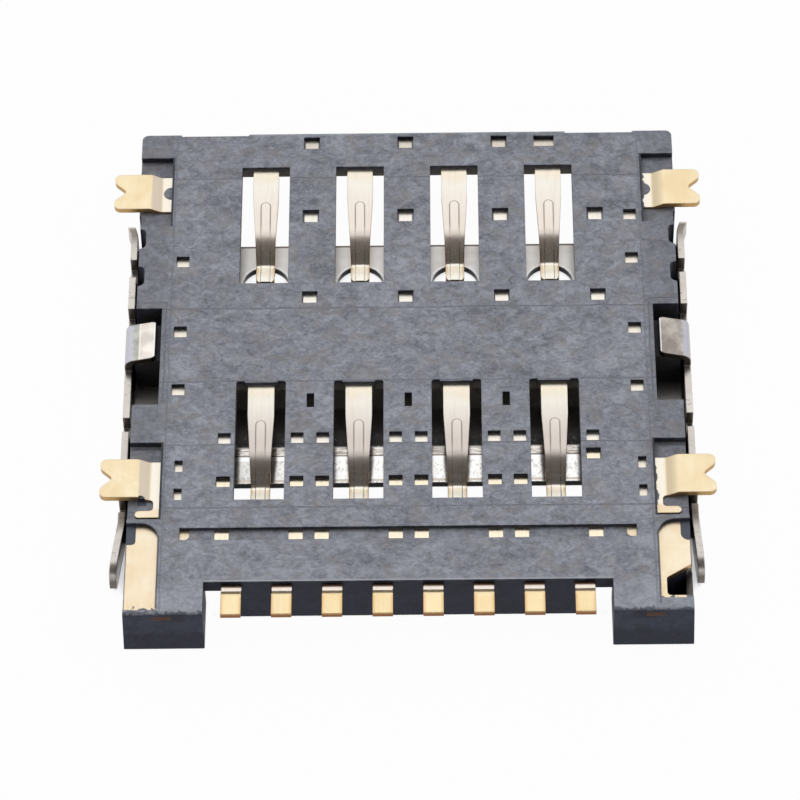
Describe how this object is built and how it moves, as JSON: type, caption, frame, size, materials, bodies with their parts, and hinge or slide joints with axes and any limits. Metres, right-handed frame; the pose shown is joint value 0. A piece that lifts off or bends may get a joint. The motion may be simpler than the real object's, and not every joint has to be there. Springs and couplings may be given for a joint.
{
  "type": "sim card socket",
  "caption": "Flat surface-mount card socket: black base with two rows of sprung contacts in windows, gold solder tabs and tails, folded steel cover below.",
  "frame": {"origin": "middle of the bottom of the whole socket, level with the outer face of the steel cover that it lies on", "axes": "+Z from the steel cover towards the solder side, +Y towards the card mouth, +X to the right when the solder side is seen with the card mouth at the top"},
  "size_m": [0.0158, 0.0164, 0.0015],
  "materials": {
    "base_plastic": "moulded glass-filled liquid crystal polymer, black, with fine flow lines",
    "cover_steel": "cold-rolled stainless strip, folded",
    "contact_strip": "copper alloy strip, gold flash over nickel, bare copper alloy on the cut ends",
    "rail_strip": "copper alloy strip, gold flash over nickel, bare copper alloy on the cut ends"
  },
  "bodies": {
    "root": {"base_housing": "base_plastic", "cover_shell": "cover_steel", "mouth_contact_1": "contact_strip", "mouth_contact_2": "contact_strip", "mouth_contact_3": "contact_strip", "mouth_contact_4": "contact_strip", "inner_contact_1": "contact_strip", "inner_contact_2": "contact_strip", "inner_contact_3": "contact_strip", "inner_contact_4": "contact_strip", "left_solder_rail": "rail_strip", "right_solder_rail": "rail_strip"}
  },
  "joints": []
}
